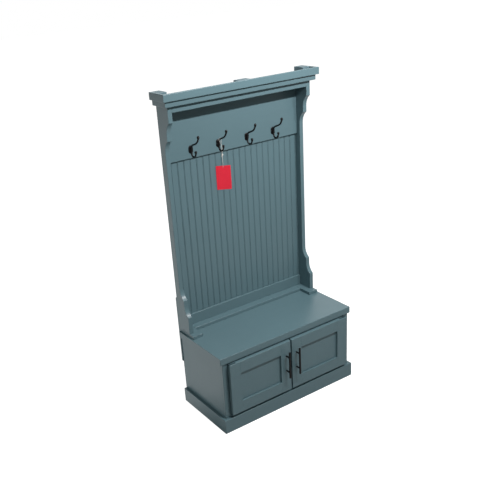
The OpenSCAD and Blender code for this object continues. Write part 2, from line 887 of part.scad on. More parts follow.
module coat_hook(i) {
    up = [for (q = [0:3]) [upper_start_shares[q][0] * hook_reach, upper_start_shares[q][1] * hook_tip_rise]];
    up_end = [for (q = [0:3]) [upper_end_shares[q][0] * hook_reach, upper_end_shares[q][1] * hook_tip_rise]];
    low = [for (q = [0:3]) [lower_start_shares[q][0] * hook_low_reach, -lower_start_shares[q][1] * hook_drop]];
    low_end = [for (q = [0:3]) [lower_end_shares[q][0] * hook_low_reach, -lower_end_shares[q][1] * hook_drop]];
    rim = hook_plate_t / 2;
    color(black)
        difference() {
            translate([hook_x(i), hook_face_y, hook_z]) {
                along_y(rim)
                    stadium(hook_plate_w, hook_plate_h);
                translate([0, -rim, 0])
                    along_y(hook_plate_t - rim)
                        stadium(hook_plate_w - 2 * rim, hook_plate_h - 2 * rim);
                arm_sweep(tip_line(arm_line(up, up_end), hook_bulb_l), hook_bulb_l);
                arm_sweep(tip_line(arm_line(low, low_end), hook_low_bulb_l), hook_low_bulb_l);
            }
            hook_screw_holes(i, hook_screw_d / 2);
        }
}

module hook_screws() {
    color(black)
        for (i = [0:HOOK_COUNT - 1], s = [-1, 1])
            translate([hook_x(i) + s * hook_screw_share * hook_plate_w, hook_face_y - hook_plate_t, hook_z]) {
                along_y(hook_screw_head_d / 4)
                    circle(d = hook_screw_head_d);
                translate([0, hook_plate_t + hook_screw_bite, 0])
                    along_y(hook_plate_t + hook_screw_bite)
                        circle(d = hook_screw_d);
            }
}

// Hang tag on the second hook

module hang_tag() {
    color(tag_red)
        translate([hook_x(TAG_HOOK), hook_face_y, hook_z] + tag_place)
            rotate([0, 0, -tag_turn])
                translate([-tag_w / 2, tag_t / 2, -tag_h])
                    along_y(tag_t)
                        difference() {
                            eased_rect(tag_w, tag_h, tag_corner_r);
                            translate([tag_w / 2, tag_h - tag_hole_drop])
                                circle(tag_hole_r);
                        }
}

// Smooth line through the route's points
function spline_point(a, b, c, d, t) =
    0.5 * (2 * b + (c - a) * t + (2 * a - 5 * b + 4 * c - d) * t * t + (3 * b - a - 3 * c + d) * pow(t, 3));

function spline(p, steps) = concat(
    [
        for (i = [0:len(p) - 2], j = [0:steps - 1])
            spline_point(p[max(0, i - 1)], p[i], p[i + 1], p[min(len(p) - 1, i + 2)], j / steps)
    ],
    [p[len(p) - 1]]
);

// The string runs through the card and over the hook's arm, and its ends meet in the knot
module tag_string() {
    p = spline(string_points, string_steps);
    color(string_white)
        translate([hook_x(TAG_HOOK), hook_face_y, hook_z]) {
            sweep(p, [for (q = p) string_d / 2], string_sides, [0, 1, 0]);
            sweep(
                [for (q = knot_rings) knot_place + [0, 0, q * knot_d / 2]],
                [for (q = knot_rings) knot_d / 2 * sqrt(1.03 - q * q)],
                knot_sides,
                [0, 1, 0]
            );
        }
}

mirror([1, 0, 0]) cabinet_side();  // cabinet_side_left
cabinet_side();  // cabinet_side_right
cabinet_floor();
cabinet_back();
back_stretcher();
mirror([1, 0, 0]) face_stile();  // face_stile_left
face_stile();  // face_stile_right
face_stile_centre();
face_rail_top();
face_rail_bottom();
plinth_front();
mirror([1, 0, 0]) plinth_side();  // plinth_left
plinth_side();  // plinth_right
bench_top();
door_bumpers();
magnetic_catches();
pivot_plates();
mirror([1, 0, 0]) door_pivot_stile();  // door_left_pivot_stile
mirror([1, 0, 0]) door_free_stile();  // door_left_free_stile
mirror([1, 0, 0]) door_top_rail();  // door_left_top_rail
mirror([1, 0, 0]) door_bottom_rail();  // door_left_bottom_rail
mirror([1, 0, 0]) door_panel();  // door_left_panel
mirror([1, 0, 0]) door_pivot_leaves();  // door_left_pivot_leaves
mirror([1, 0, 0]) door_strike();  // door_left_strike
mirror([1, 0, 0]) door_pull_bar();  // door_left_pull_bar
mirror([1, 0, 0]) door_pull_posts();  // door_left_pull_posts
door_pivot_stile();  // door_right_pivot_stile
door_free_stile();  // door_right_free_stile
door_top_rail();  // door_right_top_rail
door_bottom_rail();  // door_right_bottom_rail
door_panel();  // door_right_panel
door_pivot_leaves();  // door_right_pivot_leaves
door_strike();  // door_right_strike
door_pull_bar();  // door_right_pull_bar
door_pull_posts();  // door_right_pull_posts
mirror([1, 0, 0]) foot_arm();  // foot_left
foot_arm();  // foot_right
foot_back();
mirror([1, 0, 0]) side_panel();  // side_panel_left
side_panel();  // side_panel_right
beadboard();
bottom_rail();
hook_rail();
frieze();
crown_board();
crown_bed_front();
crown_bed_returns();
crown_fascia_front();
crown_fascia_returns();
crown_blocks();
mirror([1, 0, 0]) batten();  // batten_left
batten();  // batten_right
coat_hook(0);  // hook_1
coat_hook(1);  // hook_2
coat_hook(2);  // hook_3
coat_hook(3);  // hook_4
hook_screws();
hang_tag();
tag_string();
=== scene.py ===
"""The looks of a painted hall tree: satin blue-grey boards, black cast hooks and bar handles, and a red tag.

Lengths are metres, unless a name ends in _mm or a class says that it holds millimetres. X runs to the right,
Y to the back and Z up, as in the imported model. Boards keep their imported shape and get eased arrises. Hooks,
beads, screws, card and string are surfaces worked out here.
"""

import logging
import math
from dataclasses import dataclass, field
from enum import Enum

import bmesh
import bpy
import numpy as np
from mathutils import Matrix, Vector


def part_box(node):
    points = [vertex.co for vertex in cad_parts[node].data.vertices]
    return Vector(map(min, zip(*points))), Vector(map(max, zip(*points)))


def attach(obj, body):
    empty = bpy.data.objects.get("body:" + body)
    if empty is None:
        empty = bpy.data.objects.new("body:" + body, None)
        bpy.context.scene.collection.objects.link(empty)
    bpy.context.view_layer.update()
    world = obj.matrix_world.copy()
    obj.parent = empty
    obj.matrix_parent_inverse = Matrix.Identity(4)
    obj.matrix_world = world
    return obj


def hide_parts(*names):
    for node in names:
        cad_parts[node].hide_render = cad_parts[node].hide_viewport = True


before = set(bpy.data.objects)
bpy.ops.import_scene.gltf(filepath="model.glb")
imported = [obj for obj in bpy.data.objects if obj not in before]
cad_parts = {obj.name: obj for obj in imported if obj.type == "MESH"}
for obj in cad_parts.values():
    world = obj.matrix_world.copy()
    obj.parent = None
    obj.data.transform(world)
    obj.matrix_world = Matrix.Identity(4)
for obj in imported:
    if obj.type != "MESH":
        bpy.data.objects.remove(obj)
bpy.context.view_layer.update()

LOG = logging.getLogger("hall_tree")
MM = 0.001
WHITE = "#FFFFFF"
# The least number that is divided by.
TINY = 1e-9
# Points of a packed board that lie closer than this are one, and faces that turn by less than this are one.
MERGED_WITHIN = 2e-6
FLAT_UNDER_DEG = 0.4
# Edges of a board that turn by more than this get an arris, in so many steps.
ARRIS_OVER_DEG = 50.0
ARRIS_STEPS = 2
# Edges of a board that turn by more than this stay crisp.
BOARD_SHARP_DEG = 30.0

Shell = tuple[np.ndarray, list[tuple[int, ...]]]
Curve = tuple[tuple[float, ...], ...]


def linear(code: str) -> tuple[float, float, float, float]:
    """Turn an sRGB hex colour into linear light.

    Args:
        code: six hex digits after a hash.

    Returns:
        Red, green, blue and an alpha of one.
    """
    srgb = np.array([int(code[i:i + 2], 16) for i in (1, 3, 5)]) / 255
    light = np.where(srgb <= 0.04045, srgb / 12.92, ((srgb + 0.055) / 1.055) ** 2.4)
    return (*light.tolist(), 1.0)


def add_node(tree: bpy.types.NodeTree, kind: str, inputs: dict | None = None,
             **settings: object) -> bpy.types.Node:
    """Add one node with its settings, values and links.

    Args:
        tree: the tree that takes the node.
        kind: the node's class name.
        inputs: a value or an output socket for each named or numbered input.
        settings: attributes of the node.

    Returns:
        The new node.
    """
    node = tree.nodes.new(kind)
    for name, value in settings.items():
        setattr(node, name, value)
    for name, value in (inputs or {}).items():
        if isinstance(value, bpy.types.NodeSocket):
            tree.links.new(value, node.inputs[name])
        else:
            node.inputs[name].default_value = value
    return node


class Grain(Enum):
    """The way a board runs, which is the way its paint was tipped off."""

    ACROSS = (1, 0, 0)
    DEEP = (0, 1, 0)
    UPRIGHT = (0, 0, 1)


@dataclass(frozen=True)
class Finish:
    """A finish that builds its material once and hands the same one out afterwards.

    Its roughness swings by spread to each side of its mean.
    """

    name: str
    colour: str
    roughness: float
    metallic: float = 0.0
    spread: float = 0.05

    def material(self) -> bpy.types.Material:
        """Find the material, or wire it on first use.

        Returns:
            The one material of this finish.
        """
        made = bpy.data.materials.get(self.name)
        if made:
            return made
        made = bpy.data.materials.new(self.name)
        made.use_nodes = True
        tree = made.node_tree
        tree.nodes.clear()
        place = add_node(tree, "ShaderNodeTexCoord").outputs["Object"]
        shader = add_node(tree, "ShaderNodeBsdfPrincipled", {
            "Base Color": linear(self.colour), "Roughness": self.roughness, "Metallic": self.metallic})
        add_node(tree, "ShaderNodeOutputMaterial", {"Surface": shader.outputs["BSDF"]})
        self.wire(tree, shader, place)
        return made

    def wire(self, tree: bpy.types.NodeTree, shader: bpy.types.Node, place: bpy.types.NodeSocket) -> None:
        """Add the patterns of this finish.

        Args:
            tree: the material's tree.
            shader: its principled shader.
            place: the object coordinates.
        """
        raise NotImplementedError

    def vary(self, tree: bpy.types.NodeTree, shader: bpy.types.Node, pattern: bpy.types.NodeSocket,
             other: str) -> None:
        """Let a pattern from 0 to 1 shift the colour towards another one and the roughness about its mean.

        Args:
            tree: the material's tree.
            shader: its principled shader.
            pattern: the pattern's value.
            other: the colour at the pattern's high end.
        """
        blend = add_node(tree, "ShaderNodeMix", {0: pattern, 6: linear(self.colour), 7: linear(other)},
                         data_type="RGBA")
        tree.links.new(blend.outputs[2], shader.inputs["Base Color"])
        rough = add_node(tree, "ShaderNodeMapRange", {
            "Value": pattern, "To Min": self.roughness - self.spread, "To Max": self.roughness + self.spread})
        tree.links.new(rough.outputs["Result"], shader.inputs["Roughness"])

    def emboss(self, tree: bpy.types.NodeTree, shader: bpy.types.Node,
               layers: list[tuple[bpy.types.NodeSocket, float]]) -> None:
        """Chain height patterns into the shader's normal.

        Args:
            tree: the material's tree.
            shader: its principled shader.
            layers: pairs of a height pattern and the height in millimetres that it spans.
        """
        normal = None
        for height, depth_mm in layers:
            inputs = {"Height": height, "Distance": depth_mm * MM, "Strength": 1.0}
            if normal:
                inputs["Normal"] = normal
            normal = add_node(tree, "ShaderNodeBump", inputs).outputs["Normal"]
        tree.links.new(normal, shader.inputs["Normal"])


@dataclass(frozen=True)
class SatinEnamel(Finish):
    """Satin water-borne enamel on primed board, rolled and then tipped off with a brush.

    The eye gets a soft, broad highlight, faint strokes along the board and a slow drift of tone.
    """

    deeper: str = "#567077"
    grain: Grain = Grain.ACROSS
    stroke_w_mm: float = 3.5
    stroke_l_mm: float = 140.0
    stroke_high_mm: float = 0.06
    stipple_mm: float = 2.2
    stipple_high_mm: float = 0.03
    drift_mm: float = 320.0
    ior: float = 1.5

    def wire(self, tree: bpy.types.NodeTree, shader: bpy.types.Node, place: bpy.types.NodeSocket) -> None:
        """Add brush strokes along the board, roller stipple, and a tone: the mean of strokes and a slow drift.

        Args:
            tree: the material's tree.
            shader: its principled shader.
            place: the object coordinates.
        """
        along = np.array(self.grain.value)
        scale = along / (self.stroke_l_mm * MM) + (1 - along) / (self.stroke_w_mm * MM)
        turned = add_node(tree, "ShaderNodeMapping", {"Vector": place, "Scale": scale.tolist()})
        strokes = add_node(tree, "ShaderNodeTexNoise", {
            "Vector": turned.outputs["Vector"], "Scale": 1.0, "Detail": 2.0, "Roughness": 0.55})
        stipple = add_node(tree, "ShaderNodeTexNoise", {
            "Vector": place, "Scale": 1 / (self.stipple_mm * MM), "Detail": 1.0})
        drift = add_node(tree, "ShaderNodeTexNoise", {
            "Vector": place, "Scale": 1 / (self.drift_mm * MM), "Detail": 3.0, "Roughness": 0.6})
        tone = add_node(tree, "ShaderNodeMath", {
            0: drift.outputs["Fac"], 1: strokes.outputs["Fac"]}, operation="ADD")
        tone = add_node(tree, "ShaderNodeMath", {0: tone.outputs[0], 1: 0.5}, operation="MULTIPLY")
        self.vary(tree, shader, tone.outputs[0], self.deeper)
        self.emboss(tree, shader, [(strokes.outputs["Fac"], self.stroke_high_mm),
                                   (stipple.outputs["Fac"], self.stipple_high_mm)])
        shader.inputs["IOR"].default_value = self.ior


@dataclass(frozen=True)
class PowderCoat(Finish):
    """A thin coat on steel, most often baked powder: a fine orange peel breaks the highlight into a soft band."""

    spread: float = 0.06
    greyer: str = "#0E0F11"
    peel_mm: float = 1.1
    peel_high_mm: float = 0.04
    ior: float = 1.4

    def wire(self, tree: bpy.types.NodeTree, shader: bpy.types.Node, place: bpy.types.NodeSocket) -> None:
        """Add orange peel, drawn coarser than its real half millimetre so that it shows.

        Args:
            tree: the material's tree.
            shader: its principled shader.
            place: the object coordinates.
        """
        peel = add_node(tree, "ShaderNodeTexNoise", {
            "Vector": place, "Scale": 1 / (self.peel_mm * MM), "Detail": 1.5})
        self.vary(tree, shader, peel.outputs["Fac"], self.greyer)
        self.emboss(tree, shader, [(peel.outputs["Fac"], self.peel_high_mm)])
        shader.inputs["IOR"].default_value = self.ior


@dataclass(frozen=True)
class CastBlack(Finish):
    """Sand-cast iron under thin matte black paint: grainy, with slow swells from the mould."""

    spread: float = 0.1
    worn: str = "#111113"
    grit_mm: float = 0.9
    grit_high_mm: float = 0.08
    swell_mm: float = 7.0
    swell_high_mm: float = 0.3
    ior: float = 1.38

    def wire(self, tree: bpy.types.NodeTree, shader: bpy.types.Node, place: bpy.types.NodeSocket) -> None:
        """Add the sand's grit and the mould's swells.

        Args:
            tree: the material's tree.
            shader: its principled shader.
            place: the object coordinates.
        """
        grit = add_node(tree, "ShaderNodeTexNoise", {
            "Vector": place, "Scale": 1 / (self.grit_mm * MM), "Detail": 3.0, "Roughness": 0.7})
        swell = add_node(tree, "ShaderNodeTexNoise", {
            "Vector": place, "Scale": 1 / (self.swell_mm * MM), "Detail": 1.0})
        self.vary(tree, shader, grit.outputs["Fac"], self.worn)
        self.emboss(tree, shader, [(swell.outputs["Fac"], self.swell_high_mm),
                                   (grit.outputs["Fac"], self.grit_high_mm)])
        shader.inputs["IOR"].default_value = self.ior


@dataclass(frozen=True)
class RolledSteel(Finish):
    """Zinc-plated steel strip, drawn and tumbled: fine lines along it and a cool, slightly cloudy shine."""

    spread: float = 0.08
    cloud: str = "#A9ADB0"
    line_w_mm: float = 0.5
    line_l_mm: float = 30.0
    line_high_mm: float = 0.01

    def wire(self, tree: bpy.types.NodeTree, shader: bpy.types.Node, place: bpy.types.NodeSocket) -> None:
        """Add drawn lines along X, which also cloud the plating.

        Args:
            tree: the material's tree.
            shader: its principled shader.
            place: the object coordinates.
        """
        narrow = 1 / (self.line_w_mm * MM)
        turned = add_node(tree, "ShaderNodeMapping", {
            "Vector": place, "Scale": (1 / (self.line_l_mm * MM), narrow, narrow)})
        lines = add_node(tree, "ShaderNodeTexNoise", {
            "Vector": turned.outputs["Vector"], "Scale": 1.0, "Detail": 2.0})
        self.vary(tree, shader, lines.outputs["Fac"], self.cloud)
        self.emboss(tree, shader, [(lines.outputs["Fac"], self.line_high_mm)])


@dataclass(frozen=True)
class Moulded(Finish):
    """Injection-moulded plastic or rubber with a fine spark-eroded texture."""

    shade: str = "#D9D7D0"
    texture_mm: float = 0.8
    texture_high_mm: float = 0.02

    def wire(self, tree: bpy.types.NodeTree, shader: bpy.types.Node, place: bpy.types.NodeSocket) -> None:
        """Add the mould's texture.

        Args:
            tree: the material's tree.
            shader: its principled shader.
            place: the object coordinates.
        """
        skin = add_node(tree, "ShaderNodeTexNoise", {
            "Vector": place, "Scale": 1 / (self.texture_mm * MM), "Detail": 2.0})
        self.vary(tree, shader, skin.outputs["Fac"], self.shade)
        self.emboss(tree, shader, [(skin.outputs["Fac"], self.texture_high_mm)])


@dataclass(frozen=True)
class CoatedCard(Finish):
    """Solid-dyed card with a light machine coating: nearly flat colour, faint fibres, a dull sheen."""

    spread: float = 0.06
    fibre: str = "#D8263B"
    fibre_mm: float = 1.6
    fibre_high_mm: float = 0.03
    cloud_mm: float = 22.0

    def wire(self, tree: bpy.types.NodeTree, shader: bpy.types.Node, place: bpy.types.NodeSocket) -> None:
        """Add fibres and a slow cloud in the pulp.

        Args:
            tree: the material's tree.
            shader: its principled shader.
            place: the object coordinates.
        """
        fibres = add_node(tree, "ShaderNodeTexNoise", {
            "Vector": place, "Scale": 1 / (self.fibre_mm * MM), "Detail": 4.0, "Distortion": 1.2})
        cloud = add_node(tree, "ShaderNodeTexNoise", {
            "Vector": place, "Scale": 1 / (self.cloud_mm * MM), "Detail": 2.0})
        both = add_node(tree, "ShaderNodeMath", {
            0: fibres.outputs["Fac"], 1: cloud.outputs["Fac"]}, operation="MULTIPLY")
        self.vary(tree, shader, both.outputs[0], self.fibre)
        self.emboss(tree, shader, [(fibres.outputs["Fac"], self.fibre_high_mm)])


@dataclass(frozen=True)
class Cotton(Finish):
    """Two-ply bleached cotton: off-white, with loose fibres that give it a soft rim."""

    shade: str = "#CFCBC0"
    fibre_mm: float = 0.35
    fibre_high_mm: float = 0.06
    sheen: float = 0.35

    def wire(self, tree: bpy.types.NodeTree, shader: bpy.types.Node, place: bpy.types.NodeSocket) -> None:
        """Add fibres and a constant sheen.

        Args:
            tree: the material's tree.
            shader: its principled shader.
            place: the object coordinates.
        """
        fibres = add_node(tree, "ShaderNodeTexNoise", {
            "Vector": place, "Scale": 1 / (self.fibre_mm * MM), "Detail": 2.0})
        self.vary(tree, shader, fibres.outputs["Fac"], self.shade)
        self.emboss(tree, shader, [(fibres.outputs["Fac"], self.fibre_high_mm)])
        shader.inputs["Sheen Weight"].default_value = self.sheen


@dataclass(frozen=True)
class PaleFloor(Finish):
    """Matt white studio floor, which the eye sees as an even white without an edge.

    It glows where the camera looks straight at it. It also glows in gloss, but only behind the object: from none
    at
    Y = behind[0] to all of it at Y = behind[1]. That glow is a painted reflection, which gives the boards' side
    faces and the bench top their bright sheen.
    """

    spread: float = 0.02
    shade: str = "#AEAEAC"
    drift_mm: float = 900.0
    glow: float = 0.97
    painted_reflection_glow: float = 0.71
    behind: tuple[float, float] = (-0.1, 0.2)

    def wire(self, tree: bpy.types.NodeTree, shader: bpy.types.Node, place: bpy.types.NodeSocket) -> None:
        """Add a barely visible drift of tone, the glow to the camera, and the painted reflection: a glow in gloss.

        Args:
            tree: the material's tree.
            shader: its principled shader.
            place: the object coordinates.
        """
        drift = add_node(tree, "ShaderNodeTexNoise", {"Vector": place, "Scale": 1 / (self.drift_mm * MM)})
        self.vary(tree, shader, drift.outputs["Fac"], self.shade)
        path = add_node(tree, "ShaderNodeLightPath").outputs
        depth = add_node(tree, "ShaderNodeSeparateXYZ", {"Vector": place}).outputs["Y"]
        # Painted reflection: only glossy rays see this glow, and only behind the object, so the boards' sides and
        # bench top gain a sheen.
        behind = add_node(tree, "ShaderNodeMapRange", {
            "Value": depth, "From Min": self.behind[0], "From Max": self.behind[1],
            "To Max": self.painted_reflection_glow}).outputs["Result"]
        gloss = add_node(tree, "ShaderNodeMath", {0: path["Is Glossy Ray"], 1: behind}, operation="MULTIPLY")
        glow = add_node(tree, "ShaderNodeMath", {
            0: path["Is Camera Ray"], 1: self.glow, 2: gloss.outputs[0]}, operation="MULTIPLY_ADD")
        shader.inputs["Emission Color"].default_value = linear(WHITE)
        tree.links.new(glow.outputs[0], shader.inputs["Emission Strength"])


ENAMEL = {grain: SatinEnamel(f"satin_enamel_{grain.name.lower()}", "#5D7980", 0.34, grain=grain)
          for grain in Grain}
ENAMEL_INSIDE = SatinEnamel("satin_enamel_inside", "#5B767E", 0.45, deeper="#516A72")
HANDLE_COAT = PowderCoat("black_powder_coat", "#070809", 0.38)
HOOK_IRON = CastBlack("matte_black_cast_iron", "#070708", 0.42)
SCREW_BLACK = PowderCoat("black_oxide_steel", "#0F0F10", 0.36)
# The pivot plates and leaves are coated steel. Their coat is a blue-grey darker than the boards' paint: painted
# shade, the colour of the shadowed gap under the bench in which they sit.
PIVOT_GAP_SHADE_COAT = PowderCoat("gap_shade_coated_steel", "#34474D", 0.4, greyer="#3C5057")
ZINC = RolledSteel("zinc_plated_steel", "#C2C5C7", 0.3, metallic=1.0)
CATCH_WHITE = Moulded("white_nylon", "#E9E7E0", 0.45)
SOFT_DOT = Moulded("clear_grey_rubber", "#C4C8C9", 0.35, shade="#B4B8B9")
RED_CARD = CoatedCard("red_coated_card", "#EA2940", 0.5)
STRING = Cotton("white_cotton_twine", "#F2F0E9", 0.85)
FLOOR = PaleFloor("white_studio_floor", "#B4B4B2", 0.8)


def quads(rows: int, cols: int) -> list[tuple[int, ...]]:
    """Faces of a grid of points numbered row by row, whose rows close on themselves.

    Args:
        rows: number of rows.
        cols: points in each row.

    Returns:
        The four points of each cell, counter-clockwise where rows run away and columns go round.
    """
    i, k = np.meshgrid(np.arange(rows - 1), np.arange(cols), indexing="ij")
    a, b = i * cols + k, i * cols + (k + 1) % cols
    return np.stack([a, b, b + cols, a + cols], axis=-1).reshape(-1, 4).tolist()


def quads_between(first: int, second: int, cols: int) -> list[tuple[int, ...]]:
    """Faces that join two closed rows of a grid.

    Args:
        first: number of one row.
        second: number of the other.
        cols: points in each row.

    Returns:
        The faces.
    """
    k = np.arange(cols)
    nxt = (k + 1) % cols
    return np.stack([first * cols + k, first * cols + nxt, second * cols + nxt, second * cols + k], -1).tolist()


def closed_rings(rings: np.ndarray) -> Shell:
    """Close a stack of rings with a pole at each end.

    Args:
        rings: array of ring, point and coordinate.

    Returns:
        The shell: its points and faces.
    """
    rows, cols, _ = rings.shape
    poles = np.stack([rings[0].mean(0), rings[-1].mean(0)])
    points = np.concatenate([rings.reshape(-1, 3), poles])
    k = np.arange(cols)
    nxt = (k + 1) % cols
    last = (rows - 1) * cols
    start = np.stack([np.full(cols, rows * cols), nxt, k], axis=-1).tolist()
    end = np.stack([np.full(cols, rows * cols + 1), last + k, last + nxt], axis=-1).tolist()
    return points, quads(rows, cols) + start + end


def tube(path: np.ndarray, radii: np.ndarray, sides: int, across: tuple[float, float, float]) -> Shell:
    """Carry a round section along a path.

    Point (i, k) is path i plus radius i,k times (cos a u + sin a v), where u is square to the path and to
    across, and v is square to the path and to u.

    Args:
        path: points of the centre line.
        radii: radius at each point, or at each point and side.
        sides: points round the section.
        across: a direction in which no part of the path runs.

    Returns:
        The closed shell.
    """
    run = np.gradient(path, axis=0)
    run /= np.linalg.norm(run, axis=1, keepdims=True)
    u = np.cross(run, np.array(across))
    u /= np.linalg.norm(u, axis=1, keepdims=True)
    v = np.cross(run, u)
    angle = np.linspace(0, 2 * np.pi, sides, endpoint=False)
    spread = np.cos(angle)[None, :, None] * u[:, None] + np.sin(angle)[None, :, None] * v[:, None]
    r = radii[:, None, None] if radii.ndim == 1 else radii[:, :, None]
    return closed_rings(path[:, None] + r * spread)


def bezier(corners: np.ndarray, steps: int) -> np.ndarray:
    """Points on a cubic curve: the sum of its four corners times the four cubic weights of t.

    Args:
        corners: four control points.
        steps: number of points.

    Returns:
        The points, from the first corner to the last.
    """
    t = np.linspace(0, 1, steps)[:, None]
    weights = ((1 - t) ** 3, 3 * t * (1 - t) ** 2, 3 * t * t * (1 - t), t ** 3)
    return sum(w * c for w, c in zip(weights, corners))


def smooth_line(points: np.ndarray, steps: int) -> np.ndarray:
    """A curve through points: between two of them it is the cubic that also looks at the next one each side.

    Args:
        points: the points that it passes through.
        steps: samples for each stretch.

    Returns:
        The sampled curve with both ends.
    """
    padded = np.concatenate([points[:1], points, points[-1:]])
    a, b, c, d = (padded[i:len(points) - 1 + i][:, None] for i in range(4))
    t = (np.arange(steps) / steps)[None, :, None]
    curve = 0.5 * (2 * b + (c - a) * t + (2 * a - 5 * b + 4 * c - d) * t ** 2
                   + (3 * b - a - 3 * c + d) * t ** 3)
    return np.concatenate([curve.reshape(-1, 3), points[-1:]])


def new_piece(name: str, shells: list[Shell], finish: Finish, body: str,
              replaced: tuple[str, ...] = (), sharp: float = 40.0) -> bpy.types.Object:
    """Make one object from closed shells and put it on its body.

    Args:
        name: the piece's name.
        shells: points and faces of each shell, in the frame.
        finish: what it is dressed in.
        body: the body that it rides on.
        replaced: the nodes that it stands for.
        sharp: angle in degrees above which an edge stays crisp.

    Returns:
        The object.
    """
    starts = np.cumsum([0] + [len(p) for p, _ in shells[:-1]])
    points = np.concatenate([p for p, _ in shells])
    faces = [tuple(int(i) + int(s) for i in f) for s, (_, fs) in zip(starts, shells) for f in fs]
    mesh = bpy.data.meshes.new(name)
    mesh.from_pydata(points.tolist(), [], faces)
    work = bmesh.new()
    work.from_mesh(mesh)
    bmesh.ops.recalc_face_normals(work, faces=work.faces)
    work.to_mesh(mesh)
    work.free()
    return place_piece(name, mesh, finish, body, replaced, sharp)


def place_piece(name: str, mesh: bpy.types.Mesh, finish: Finish, body: str,
                replaced: tuple[str, ...], sharp: float) -> bpy.types.Object:
    """Link a mesh as a dressed piece of the object.

    Args:
        name: the piece's name.
        mesh: its finished mesh, in the frame.
        finish: what it is dressed in.
        body: the body that it rides on.
        replaced: the nodes that it stands for.
        sharp: angle in degrees above which an edge stays crisp.

    Returns:
        The object.
    """
    mesh.shade_smooth()
    mesh.set_sharp_from_angle(angle=math.radians(sharp))
    mesh.materials.clear()
    mesh.materials.append(finish.material())
    piece = bpy.data.objects.new(name, mesh)
    bpy.context.scene.collection.objects.link(piece)
    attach(piece, body)
    if replaced:
        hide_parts(*replaced)
    return piece


def eased_board(node: str, finish: Finish, body: str, ease_mm: float) -> bpy.types.Object:
    """Stand a copy of a packed board in for it, with its arrises taken off.

    The copy's loose triangles are merged into whole faces first, so that only real edges are eased.

    Args:
        node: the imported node.
        finish: what the board is dressed in.
        body: the body that it rides on.
        ease_mm: width of the eased arris, or 0 where the board is too finely cut for one.

    Returns:
        The board's object.
    """
    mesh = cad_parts[node].data.copy()
    mesh.name = f"{node}_board"
    work = bmesh.new()
    work.from_mesh(mesh)
    bmesh.ops.remove_doubles(work, verts=work.verts, dist=MERGED_WITHIN)
    bmesh.ops.dissolve_limit(work, angle_limit=math.radians(FLAT_UNDER_DEG), verts=work.verts, edges=work.edges)
    work.to_mesh(mesh)
    work.free()
    board = place_piece(f"{node}_board", mesh, finish, body, (node,), BOARD_SHARP_DEG)
    if ease_mm:
        ease = board.modifiers.new("Arris", "BEVEL")
        ease.width = ease_mm * MM
        ease.segments = ARRIS_STEPS
        ease.limit_method = "ANGLE"
        ease.angle_limit = math.radians(ARRIS_OVER_DEG)
    weigh = board.modifiers.new("Flat faces", "WEIGHTED_NORMAL")
    weigh.keep_sharp = True
    return board


@dataclass(frozen=True)
class ScrewHead:
    """A domed screw head with a cross recess. Lengths are millimetres, shares are of the radius or the rise.

    The height at a share r of the radius is rise (1 - r^2)^dome. It is less by depth_share where the smaller of
    |x| and |y| is under arm_share and the larger is under reach_share, which is the cross. The rim goes down by
    skirt_share, into the seat.
    """

    diameter: float
    rise: float
    dome: float = 0.6
    arm_share: float = 0.17
    reach_share: float = 0.63
    depth_share: float = 0.55
    skirt_share: float = 0.4
    ring_shares: tuple[float, ...] = (1.0, 1.0, 0.96, 0.86, 0.74, 0.66, 0.6, 0.5, 0.4, 0.3, 0.2, 0.12, 0.04)
    sides: int = 48

    def shells(self, places: np.ndarray, out: tuple[float, float, float], turns: np.ndarray) -> list[Shell]:
        """Set one head on each seat.

        Args:
            places: centres of the heads' seats.
            out: the way that they face, along one axis.
            turns: turn of each recess, in radians.

        Returns:
            One closed shell for each head.
        """
        normal = np.array(out, float)
        u = np.roll(normal, 1)
        v = np.cross(normal, u)
        radius, rise = self.diameter * MM / 2, self.rise * MM
        share = np.array(self.ring_shares)[:, None]
        angle = np.linspace(0, 2 * np.pi, self.sides, endpoint=False)
        x, y = share * np.cos(angle), share * np.sin(angle)
        cross = ((np.minimum(abs(x), abs(y)) < self.arm_share)
                 & (np.maximum(abs(x), abs(y)) < self.reach_share))
        height = rise * (np.clip(1 - share ** 2, 0, 1) ** self.dome - np.where(cross, self.depth_share, 0))
        height[0] = -self.skirt_share * rise
        heads = []
        for place, w in zip(places, turns):
            cx, cy = x * math.cos(w) - y * math.sin(w), x * math.sin(w) + y * math.cos(w)
            rings = place + radius * (cx[..., None] * u + cy[..., None] * v) + height[..., None] * normal
            heads.append(closed_rings(rings))
        return heads


@dataclass(frozen=True)
class Lamp:
    """One soft box: its centre, the point that it faces, its width and height, its watts and its colour.

    A broad one lights as a larger box would, whose shadows of small pieces fade before they reach a board, so
    the pieces named in small_pieces don't block it.
    """

    name: str
    place: tuple[float, float, float]
    aim: tuple[float, float, float]
    size: tuple[float, float]
    power: float
    colour: str = WHITE
    broad: bool = False

    def hang(self, small_pieces: bpy.types.Collection) -> None:
        """Hang the lamp in the scene.

        Args:
            small_pieces: the pieces that a broad lamp shines past.
        """
        data = bpy.data.lights.new(self.name, "AREA")
        data.shape = "RECTANGLE"
        data.size, data.size_y = self.size
        data.energy = self.power
        data.color = linear(self.colour)[:3]
        lamp = bpy.data.objects.new(self.name, data)
        lamp.matrix_world = Matrix.Translation(self.place) @ (
            Vector(self.aim) - Vector(self.place)).to_track_quat("-Z", "Y").to_matrix().to_4x4()
        bpy.context.scene.collection.objects.link(lamp)
        if self.broad:
            lamp.light_linking.blocker_collection = small_pieces


